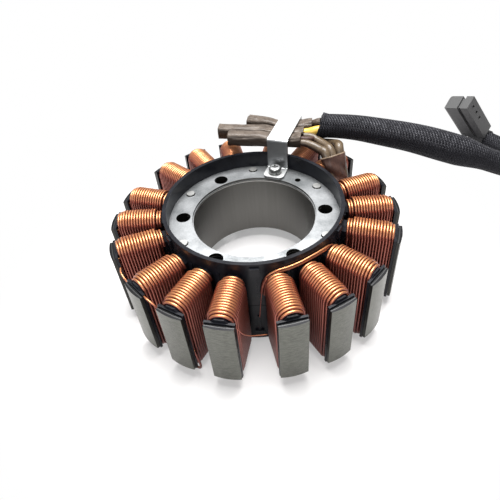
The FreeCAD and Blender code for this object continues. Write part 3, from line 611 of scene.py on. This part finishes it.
def eased(share):
    """Smooth step from 0 to 1, level at both ends."""
    share = min(max(share, 0), 1)
    return share * share * (3 - 2 * share)


def thickened(piece):
    """Give an open sleeve the thickness of its wall, inwards."""
    wall = piece.modifiers.new("wall", "SOLIDIFY")
    wall.thickness = SLEEVE_WALL
    wall.offset = -1


def flattened(turn, half_w, half_h):
    """Point of a flattened tube's wall: flat top and bottom, full round edges."""
    angle = math.tau * turn
    across = math.copysign(abs(math.cos(angle)) ** SLEEVE_ROUNDING, math.cos(angle)) * half_w
    up = math.copysign(abs(math.sin(angle)) ** SLEEVE_ROUNDING, math.sin(angle)) * half_h
    return across, up


sleeving = sleeving_material("Varnished glass sleeving", SLEEVE_LIGHT, SLEEVE_DARK, SLEEVE_SIDE_SHADE, 26.0, 0.5, 0.5,
                             gloss=0.2, creases=0.7)
for number, route in enumerate(SLEEVE_ROUTES, 1):
    path = spline_points("sleeve path", [(x, y, SLEEVE_Z) for x, y in route])
    sleeve_l = even_steps(path, 1)[1] / MM

    def creased(turn, share, number=number, sleeve_l=sleeve_l):
        """Wall of the sleeve: lengthwise folds that come and go, fuller away from the strap."""
        across, up = flattened(turn, SLEEVE_HALF_W, SLEEVE_HALF_H)
        fold = noise(Vector((math.cos(math.tau * turn) * 1.7, math.sin(math.tau * turn) * 1.7 + 7 * number,
                             share * 2.6)))
        fine = noise(Vector((turn * 14, 5 * number, share * 9)))
        pull = 1 - (max(fold, 0) * 0.9 + max(fine, 0) * 0.3) * SLEEVE_CREASE / SLEEVE_HALF_H
        from_strap = abs(share * sleeve_l - STRAP_PLACE[number - 1]) - STRAP_GRIP
        full = 1 + SLEEVE_BULGE * eased(from_strap / CREASE_RUN) if up > 0 else 1
        return across * (0.35 + 0.65 * pull), up * pull * full

    outer = swept("splice_sleeve_look_%d" % number, path, SLEEVE_STEPS, SLEEVE_AROUND, creased, open_ends=True)
    thickened(outer)
    outer.data.materials.append(sleeving)
    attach(outer, "root")
    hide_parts("splice_sleeve_%d" % number)
for number in (1, 2, 3):
    tin = plated_material("Tinned crimp %d" % number, ZINC_LIGHT, ZINC_DARK, SCREW_SIDE_SHADE, 0.35)
    finish_node("splice_crimp_%d" % number, tin)


# Winding leads, their wrap and the phase wires
# Each winding end leaves its splice in thin varnished sleeving; all three dive between two groups
# of coils in one flat wrap. The outer two phase wires are sleeved, the middle one is bare yellow.
LEAD_D = 3.0
LEAD_FULL_D = 4.5
PHASE_WIRE_D = [2.6, 4.1, 4.0]
LEAD_ROUTES = [
    [(3.55, 40.31, 43.9), (24.27, 36.69, 43.9), (29.0, 34.6, 42.9), (33.0, 31.6, 41.6), (34.89, 29.08, 42.06),
     (38.66, 20.83, 27.73)],
    [(-1.45, 47.7, 43.9), (28.27, 42.49, 43.9), (31.5, 41.0, 42.1), (35.5, 36.0, 41.4), (37.71, 30.37, 42.06),
     (41.48, 22.12, 27.73)],
    [(12.38, 52.28, 43.9), (14.17, 51.55, 43.9), (30.35, 49.68, 43.9), (31.9, 48.8, 40.3), (34.0, 45.4, 38.2),
     (39.8, 40.0, 40.0), (42.0, 35.4, 41.8), (41.0, 31.6, 42.3), (44.3, 23.41, 27.73)],
]
PHASE_WIRE_ROUTES = [
    [(4.04, 43.13, 43.9), (24.76, 39.51, 43.9), (28.4, 39.2, 43.4), (31.65, 42.0, 43.0), (33.2, 42.9, 43.0)],
    [(-0.96, 50.1, 43.9), (24.0, 45.75, 43.7), (28.4, 44.9, 44.0), (31.6, 44.6, 45.2), (34.4, 44.6, 45.4)],
    [(13.46, 54.93, 43.9), (14.89, 54.35, 43.9), (30.68, 51.9, 44.3), (33.32, 50.34, 46.4), (34.74, 50.02, 46.6)],
]
WRAP_ROUTE = [(38.2, 29.3, 40.2), (41.15, 22.85, 29.0)]
WRAP_HALF_W = 5.8 * MM
WRAP_HALF_T = 2.8 * MM
WRAP_TAPER = 0.2
WRAP_MIDDLE = 0.12
WRAP_LOBES = 0.12
WRAP_FOLD = 1.1 * MM
WRAP_RIM = (0.22, 0.16, 0.11)
WRAP_LIGHT = (0.085, 0.042, 0.030)
WRAP_DARK = (0.045, 0.021, 0.015)
# Painted shade colour for the wrap's sides, also the dark tone of the dark wire sleeving.
WRAP_SIDE_SHADE = (0.036, 0.015, 0.011)
LEAD_LIGHT = (0.15, 0.105, 0.062)
LEAD_DARK = (0.06, 0.040, 0.022)
# Painted shade colour for the leads' sides.
LEAD_SIDE_SHADE = (0.028, 0.015, 0.009)
YELLOW_LIGHT = (0.80, 0.56, 0.10)
YELLOW_DARK = (0.62, 0.36, 0.05)


def round_wall(diameter, full_diameter=None):
    """Section of a round wire, for swept; the full diameter is reached late in its run, then lost again."""
    gain = (full_diameter or diameter) - diameter

    def wall(turn, share):
        fuller = math.sin(math.pi * min(max(share * 1.6 - 0.6, 0), 1))
        radius = (diameter + gain * fuller) / 2 * MM
        return math.cos(math.tau * turn) * radius, math.sin(math.tau * turn) * radius
    return wall


lead_sleeving = sleeving_material("Varnished lead sleeving", LEAD_LIGHT, LEAD_DARK, LEAD_SIDE_SHADE, 20.0, 0.4, 0.35,
                                  gloss=0.4)
dark_sleeving = sleeving_material("Dark wire sleeving", WRAP_LIGHT, WRAP_SIDE_SHADE, WRAP_SIDE_SHADE, 20.0, 0.5, 0.35)
wrap_sleeving = sleeving_material("Varnished lead wrap", WRAP_LIGHT, WRAP_DARK, WRAP_SIDE_SHADE, 40.0, 0.5, 0.4,
                                  gloss=0.15, creases=0.6, pale_end=0.5 * MM)
yellow, yellow_tree, yellow_shader = new_material("Yellow wire insulation", 0.35)
yellow_tint = mottled(yellow_tree, YELLOW_LIGHT, YELLOW_DARK, 200.0, 900.0, 0.2)
yellow_tree.links.new(yellow_tint.outputs["Color"], yellow_shader.inputs["Base Color"])
for number, (lead_route, wire_route) in enumerate(zip(LEAD_ROUTES, PHASE_WIRE_ROUTES), 1):
    lead = swept("winding_lead_look_%d" % number, spline_points("lead path", lead_route), 70, 28,
                 round_wall(LEAD_D, LEAD_FULL_D))
    lead.data.materials.append(lead_sleeving)
    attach(lead, "root")
    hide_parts("winding_lead_%d" % number)
    wire = swept("phase_wire_look_%d" % number, spline_points("wire path", wire_route), 60, 28,
                 round_wall(PHASE_WIRE_D[number - 1]))
    wire.data.materials.append([dark_sleeving, yellow, sleeving][number - 1])
    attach(wire, "root")
    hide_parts("phase_wire_%d" % number)


def wrap_wall(turn, share):
    """Wall of the wrap: flared at its mouth, with slanting folds that close in round the leads."""
    angle = math.tau * turn
    fold = noise(Vector((math.cos(angle) * 1.3 + share * 1.6, math.sin(angle) * 1.3, share * 2.2)))
    lobes = 1 - WRAP_LOBES * abs(math.sin(math.pi * 1.5 * math.cos(angle))) * (1 - share * 0.3)
    full = 1 + WRAP_MIDDLE * (1 - 2 * share)
    up = math.copysign(abs(math.sin(angle)) ** 0.8, math.sin(angle)) * WRAP_HALF_T
    return math.cos(angle) * WRAP_HALF_W * (1 - WRAP_TAPER * share), up * lobes * full + fold * WRAP_FOLD


wrap = swept("lead_wrap_look", spline_points("wrap path", WRAP_ROUTE), 30, 72, wrap_wall, open_ends=True)
thickened(wrap)
wrap.data.materials.append(wrap_sleeving)
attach(wrap, "root")
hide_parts("lead_wrap")


# Loose winding ends
# Here and there a strand stands off the coils: links between the pole tips of one group,
# a slack turn low at a tip and thin tails that were left uncut.
LOOSE_ENDS = [
    (222, 0.75, [(59.6, -5.2, 24.0), (60.3, -6.5, 28.5), (60.6, -9.0, 30.5), (60.3, -12.0, 31.5), (58.8, -14.4, 31.0)]),
    (240, 0.75, [(59.4, -5.0, 25.0), (60.2, -6.6, 29.5), (60.4, -9.2, 31.5), (60.0, -12.2, 32.2), (58.6, -14.4, 31.2)]),
    (240, 0.95, [(59.3, 4.9, 9.0), (59.8, 6.6, 5.0), (60.0, 7.4, 1.0), (59.8, 6.4, -1.8), (59.4, 4.6, -2.6)]),
    (258, 0.4, [(59.4, 4.6, 31.5), (59.8, 6.4, 27.5), (58.4, 8.8, 23.6), (56.2, 12.0, 21.6), (54.4, 15.2, 20.4)]),
    (282, 0.35, [(42.0, -4.4, 34.6), (42.4, -6.0, 32.0), (44.0, -7.6, 26.0), (46.4, -9.0, 19.0)]),
]
for number, (pole, loose_d, local_route) in enumerate(LOOSE_ENDS, 1):
    at_pole = Matrix.Rotation(math.radians(pole), 3, "Z")
    route = [at_pole @ Vector(point) for point in local_route]
    strand = swept("loose_end_%d" % number, spline_points("strand path", route), 40, 12, round_wall(loose_d))
    strand.data.materials.append(copper)
    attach(strand, "root")


# Harness
# The phase wires run in a black braided polyester sleeve with pale dashes, partly tracer strands and partly painted
# highlight on its upper side, cut off slantwise at the splices. It lies over the coils, sinks to the surface and turns
# to the connector.
HARNESS_D = 12.0
HARNESS_ROUTE = [
    (34.0, 46.8, 46.3), (48.0, 43.6, 46.3), (64.0, 37.6, 45.6), (82.0, 31.2, 43.1),
    (100.0, 27.4, 38.3), (116.5, 26.6, 31.4), (132.6, 29.6, 24.2), (146.2, 37.4, 17.2),
    (155.1, 50.1, 10.8), (158.3, 62.5, 5.5), (157.7, 75.5, 2.1),
    (153.8, 87.3, 0.4), (146.9, 97.7, 0.4),
]
HARNESS_STEPS = 600
HARNESS_AROUND = 128
BRAID_STRANDS = 32
BRAID_PITCH = 1.3 * MM
BRAID_RISE = 0.14 * MM
BRAID_INSET = 0.25 * MM
BRAID_SWELL = 0.35 * MM
BRAID_WRINKLE = 0.16 * MM
MOUTH_SWELL = 0.09
MOUTH_L = 4 * MM
MOUTH_SLANT = 2.2 * MM
MOUTH_FRAY = 0.7 * MM
MOUTH_REACH = 0.5 * MM
BULGE = 0.22
BULGE_TUCK = 0.06
BULGE_AT = 66 * MM
BULGE_FALL = 16 * MM
BRAID_BLACK = (0.004, 0.004, 0.006)
BRAID_GREY = (0.012, 0.012, 0.016)
# Pale dashes: partly tracer strands, partly painted highlight.
TRACER_AND_HIGHLIGHT = (0.12, 0.12, 0.13)


def braid_material():
    """Black braid whose strands cross over and under, with short pale dashes between them, partly tracer strands and
    partly painted highlight, shown only where the braid faces up.
    """
    material, tree, shader = new_material("Black braided sleeve", 0.62)
    weave = add_node(tree, "ShaderNodeGroup", node_tree=WEAVE, in_Around=float(BRAID_STRANDS),
                     in_Pitch=BRAID_PITCH)
    fibre = mottled(tree, BRAID_GREY, BRAID_BLACK, 400.0, 2600.0, 0.5)
    uv = add_node(tree, "ShaderNodeUVMap", uv_map="UVMap").outputs[0]
    axes = add_node(tree, "ShaderNodeSeparateXYZ", in_Vector=uv).outputs
    turn = maths(tree, "MULTIPLY", axes["X"], BRAID_STRANDS)
    along = maths(tree, "DIVIDE", axes["Y"], BRAID_PITCH)
    row = maths(tree, "FLOOR", turn)
    shift = maths(tree, "MULTIPLY", maths(tree, "MODULO", row, 2.0), 0.5)
    across = maths(tree, "ABSOLUTE", maths(tree, "SUBTRACT", maths(tree, "FRACT", turn), 0.5))
    slant = maths(tree, "ADD", shift, maths(tree, "MULTIPLY", maths(tree, "FRACT", turn), 0.7))
    length = maths(tree, "ABSOLUTE", maths(tree, "SUBTRACT", maths(tree, "FRACT", maths(
        tree, "ADD", along, slant)), 0.5))
    dash = maths(tree, "MULTIPLY", maths(tree, "LESS_THAN", across, 0.4), maths(tree, "LESS_THAN", length, 0.15))
    # Dashes show only where the braid faces up: a painted highlight.
    up = facing_up(tree)
    painted_light_share = add_node(tree, "ShaderNodeMapRange", in_Value=up, in_1=0.15, in_2=0.85).outputs[0]
    patchy = add_node(tree, "ShaderNodeMapRange", in_Value=fibre.outputs["Height"], in_1=0.40, in_2=0.58).outputs[0]
    tracer_highlight_share = maths(tree, "MULTIPLY", dash, maths(tree, "MULTIPLY", patchy, painted_light_share))
    colour = blend_colours(tree, tracer_highlight_share, fibre.outputs["Color"], TRACER_AND_HIGHLIGHT)
    tree.links.new(colour, shader.inputs["Base Color"])
    shader.inputs["Specular IOR Level"].default_value = 0.15
    bump = add_node(tree, "ShaderNodeBump", in_Height=weave.outputs["Height"], in_Strength=0.9,
                    in_Distance=0.3 * MM)
    tree.links.new(bump.outputs[0], shader.inputs["Normal"])
    return material


def braided(turn, share):
    """Wall of the braid: raised strands, an uneven swelling, and a fuller end round the wires."""
    first = turn * BRAID_STRANDS + share * braid_rows
    second = turn * BRAID_STRANDS - share * braid_rows
    over = (math.floor(first) + math.floor(second)) % 2
    strand = abs(math.sin(math.pi * (second if over else first)))
    side, up = math.cos(math.tau * turn), math.sin(math.tau * turn)
    swell = noise(Vector((side, up, share * 9))) * BRAID_SWELL
    wrinkle = noise(Vector((turn * 17, 3.0, share * 5))) * BRAID_WRINKLE
    radius = HARNESS_D / 2 * MM - BRAID_RISE * (1 - strand) - BRAID_INSET + swell + wrinkle
    place = share * harness_length
    past = min(max((place - BULGE_AT) / BULGE_FALL, 0), 1)
    radius *= 1 + BULGE * eased(place / BULGE_AT) * (1 - eased(past)) - BULGE_TUCK * past
    radius *= 1 + MOUTH_SWELL * max(0, 1 - place / MOUTH_L)
    return side * radius, up * radius


harness_path = spline_points("harness path", HARNESS_ROUTE, closer=14)
harness_length = even_steps(harness_path, 1)[1]
braid_rows = harness_length / BRAID_PITCH
harness = swept("harness_look", harness_path, HARNESS_STEPS, HARNESS_AROUND, braided)
harness_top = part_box("harness")[1][2]
for vertex in harness.data.vertices:
    ring, around_at = divmod(vertex.index, HARNESS_AROUND)
    near_mouth = max(0, 1 - ring * harness_length / HARNESS_STEPS / MOUTH_L)
    slant = math.sin(math.tau * around_at / HARNESS_AROUND) * MOUTH_SLANT
    fray = noise(Vector((around_at * 0.9, 5.0, 1.0))) * MOUTH_FRAY * (1 if ring < 2 else 0)
    vertex.co.x += (slant - MOUTH_REACH) * near_mouth + fray
    vertex.co.z = min(vertex.co.z, harness_top)
harness.data.materials.append(braid_material())
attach(harness, "root")
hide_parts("harness")


# Connector
# A moulded dark grey socket housing that leans on the end of the harness: a plate with three
# holes for the mating pins, a groove and a rounded body, with a rubber elbow to the harness.
CONNECTOR_ROLL = math.radians(30.8)
CONNECTOR_LEAN = math.radians(51.9)
CONNECTOR_HEADING = math.radians(190.8)
# Face and end colours are painted light, the side colour painted shade; the face colour also serves as the grain's pale
# tone.
HOUSING_FACE_LIT_AND_GRAIN = (0.042, 0.042, 0.043)
HOUSING_SIDE_SHADE = (0.009, 0.009, 0.011)
HOUSING_END_LIT = (0.085, 0.085, 0.085)
HOUSING_WORN = (0.022, 0.022, 0.023)
BOOT_LIGHT = (0.03, 0.03, 0.033)
BOOT_DARK = (0.012, 0.012, 0.014)


def housing_material():
    """Spark-finished plastic with a random grain: painted light on the mating face and the outer end, painted shade on
    its sides.
    """
    material, tree, shader = new_material("Spark-finished grey plastic", 0.5)
    shader.inputs["Specular IOR Level"].default_value = 0.35
    turned = (Matrix.Rotation(CONNECTOR_HEADING, 3, "Z") @ Matrix.Rotation(-CONNECTOR_LEAN, 3, "Y")
              @ Matrix.Rotation(CONNECTOR_ROLL, 3, "X"))
    normal = add_node(tree, "ShaderNodeNewGeometry").outputs["Normal"]
    # Faces toward the mating side and the outer end get paler colours as painted light; the other faces keep a dark
    # painted shade.
    colour = HOUSING_SIDE_SHADE
    for way, lit_tone in ((Vector((0, 1, 0)), HOUSING_FACE_LIT_AND_GRAIN), (Vector((1, 0, 0)), HOUSING_END_LIT)):
        toward = add_node(tree, "ShaderNodeVectorMath", operation="DOT_PRODUCT", in_0=normal,
                          in_1=turned @ way).outputs["Value"]
        faces = add_node(tree, "ShaderNodeMapRange", in_Value=toward, in_1=0.6, in_2=0.9).outputs[0]
        colour = blend_colours(tree, faces, colour, lit_tone)
    grain = mottled(tree, HOUSING_FACE_LIT_AND_GRAIN, HOUSING_WORN, 120.0, 2600.0, 0.6)
    rubbed = maths(tree, "MULTIPLY", grain.outputs["Height"], 0.3)
    tree.links.new(blend_colours(tree, rubbed, colour, grain.outputs["Color"]), shader.inputs["Base Color"])
    bump = add_node(tree, "ShaderNodeBump", in_Height=grain.outputs["Height"], in_Strength=0.3,
                    in_Distance=0.05 * MM)
    tree.links.new(bump.outputs[0], shader.inputs["Normal"])
    return material


finish_node("connector_housing", housing_material())
boot_rubber, boot_tree, boot_shader = new_material("Black rubber", 0.7)
boot_tint = mottled(boot_tree, BOOT_LIGHT, BOOT_DARK)
boot_tree.links.new(boot_tint.outputs["Color"], boot_shader.inputs["Base Color"])
finish_node("connector_boot", boot_rubber)
finish_node("connector_terminals", plated_material("Tinned socket", ZINC_LIGHT, ZINC_DARK, SCREW_SIDE_SHADE, 0.28))


# Surface, light and camera
# The stator lies on a white sheet under a wide soft lamp, with a weak one in front and an even
# white room. The camera looks from in front and above, fitted to the photograph's framing.
FLOOR_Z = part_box("back_insulator")[0][2]
FLOOR_HALF = 2.0
FLOOR_WHITE = (0.74, 0.725, 0.72)
GLOW_NEAR = 0.33
GLOW_NEAR_R = 0.066
GLOW_FAR_R = 0.13
FLOOR_GLOW_MIRRORED = 0.1
ROOM_LIGHT = 0.33
ROOM_MIRRORED = 0.3
OVERHEAD_PLACE = (0.04, 0.15, 0.77)
OVERHEAD_POWER = 16
FRONT_PLACE = (-0.25, -0.75, 0.45)
FRONT_POWER = 3
LAMP_SIZE = 0.5
CAMERA_ELEVATION = 0.739303
CAMERA_DISTANCE = 209.17 * MM
CAMERA_ROLL = -0.0882023
CAMERA_TURN = math.radians(2.5415)
CAMERA_FOCAL_PX = 452.48
PHOTO_PX = 500
CAMERA_OFFSET_PX = (6.276, -10.195)
CAMERA_AIM = Vector((0, 0, 15.733 * MM))
SENSOR_MM = 36.0


def floor_object():
    """Wide white sheet under the part, plain white to the camera except near the part; clear from below."""
    mesh = bpy.data.meshes.new("surface")
    corners = [(-FLOOR_HALF, -FLOOR_HALF), (FLOOR_HALF, -FLOOR_HALF), (FLOOR_HALF, FLOOR_HALF),
               (-FLOOR_HALF, FLOOR_HALF)]
    mesh.from_pydata([(x, y, FLOOR_Z) for x, y in corners], [], [(0, 1, 2, 3)])
    made = bpy.data.objects.new("surface", mesh)
    bpy.context.scene.collection.objects.link(made)
    material, tree, shader = new_material("White sheet", 0.8)
    shader.inputs["Base Color"].default_value = (*FLOOR_WHITE, 1)
    glow = add_node(tree, "ShaderNodeEmission", in_Color=(1, 1, 1, 1), in_Strength=1.0)
    path = add_node(tree, "ShaderNodeLightPath").outputs
    mirrored = maths(tree, "MAXIMUM", path["Is Glossy Ray"], path["Is Transmission Ray"])
    spot = add_node(tree, "ShaderNodeTexCoord").outputs["Object"]
    away = add_node(tree, "ShaderNodeVectorMath", operation="LENGTH", in_0=spot).outputs["Value"]
    plain = add_node(tree, "ShaderNodeMapRange", interpolation_type="SMOOTHSTEP", in_Value=away, in_1=GLOW_NEAR_R,
                     in_2=GLOW_FAR_R, in_3=GLOW_NEAR, in_4=1.0).outputs[0]
    seen = maths(tree, "ADD", maths(tree, "MULTIPLY", path["Is Camera Ray"], plain),
                 maths(tree, "MULTIPLY", mirrored, FLOOR_GLOW_MIRRORED), clamp=True)
    mix = add_node(tree, "ShaderNodeMixShader", in_0=seen)
    tree.links.new(shader.outputs[0], mix.inputs[1])
    tree.links.new(glow.outputs[0], mix.inputs[2])
    below = add_node(tree, "ShaderNodeNewGeometry").outputs["Backfacing"]
    clear = add_node(tree, "ShaderNodeBsdfTransparent").outputs[0]
    one_sided = add_node(tree, "ShaderNodeMixShader", in_0=below)
    tree.links.new(mix.outputs[0], one_sided.inputs[1])
    tree.links.new(clear, one_sided.inputs[2])
    tree.links.new(one_sided.outputs[0], tree.nodes["Material Output"].inputs["Surface"])
    mesh.materials.append(material)
    return made


def soft_lamp(name, place, power):
    """Square area lamp aimed at the middle of the part."""
    data = bpy.data.lights.new(name, "AREA")
    data.size = LAMP_SIZE
    data.energy = power
    lamp = bpy.data.objects.new(name, data)
    lamp.location = place
    lamp.rotation_euler = (-Vector(place)).to_track_quat("-Z", "Y").to_euler()
    bpy.context.scene.collection.objects.link(lamp)


def photo_camera():
    """Camera at the angle, distance and framing of the photograph."""
    back = Vector((0, -math.cos(CAMERA_ELEVATION), math.sin(CAMERA_ELEVATION)))
    level = Vector((1, 0, 0))
    over = back.cross(level)
    c, s = math.cos(CAMERA_ROLL), math.sin(CAMERA_ROLL)
    right, up = level * c + over * s, over * c - level * s
    turn = Matrix.Rotation(CAMERA_TURN, 3, "Z")
    right, up, back = turn @ right, turn @ up, turn @ back
    data = bpy.data.cameras.new("camera")
    data.sensor_width = SENSOR_MM
    data.lens = CAMERA_FOCAL_PX / PHOTO_PX * SENSOR_MM
    data.shift_x = -CAMERA_OFFSET_PX[0] / PHOTO_PX
    data.shift_y = CAMERA_OFFSET_PX[1] / PHOTO_PX
    data.clip_start = 0.01
    camera = bpy.data.objects.new("camera", data)
    place = CAMERA_AIM + back * CAMERA_DISTANCE
    camera.matrix_world = Matrix(((right.x, up.x, back.x, place.x), (right.y, up.y, back.y, place.y),
                                  (right.z, up.z, back.z, place.z), (0, 0, 0, 1)))
    bpy.context.scene.collection.objects.link(camera)
    bpy.context.scene.camera = camera


floor_object()
soft_lamp("overhead", OVERHEAD_PLACE, OVERHEAD_POWER)
soft_lamp("front fill", FRONT_PLACE, FRONT_POWER)
world = bpy.data.worlds.new("room")
bpy.context.scene.world = world
world.use_nodes = True
world_tree = world.node_tree
world_path = add_node(world_tree, "ShaderNodeLightPath").outputs
mirrored = maths(world_tree, "MAXIMUM", world_path["Is Glossy Ray"], world_path["Is Transmission Ray"])
strength = maths(world_tree, "ADD", ROOM_LIGHT, maths(
    world_tree, "ADD", maths(world_tree, "MULTIPLY", world_path["Is Camera Ray"], 1 - ROOM_LIGHT),
    maths(world_tree, "MULTIPLY", mirrored, ROOM_MIRRORED)))
background = world_tree.nodes["Background"]
background.inputs["Color"].default_value = (1, 1, 1, 1)
world_tree.links.new(strength, background.inputs["Strength"])
bpy.context.scene.view_settings.view_transform = "Standard"
photo_camera()
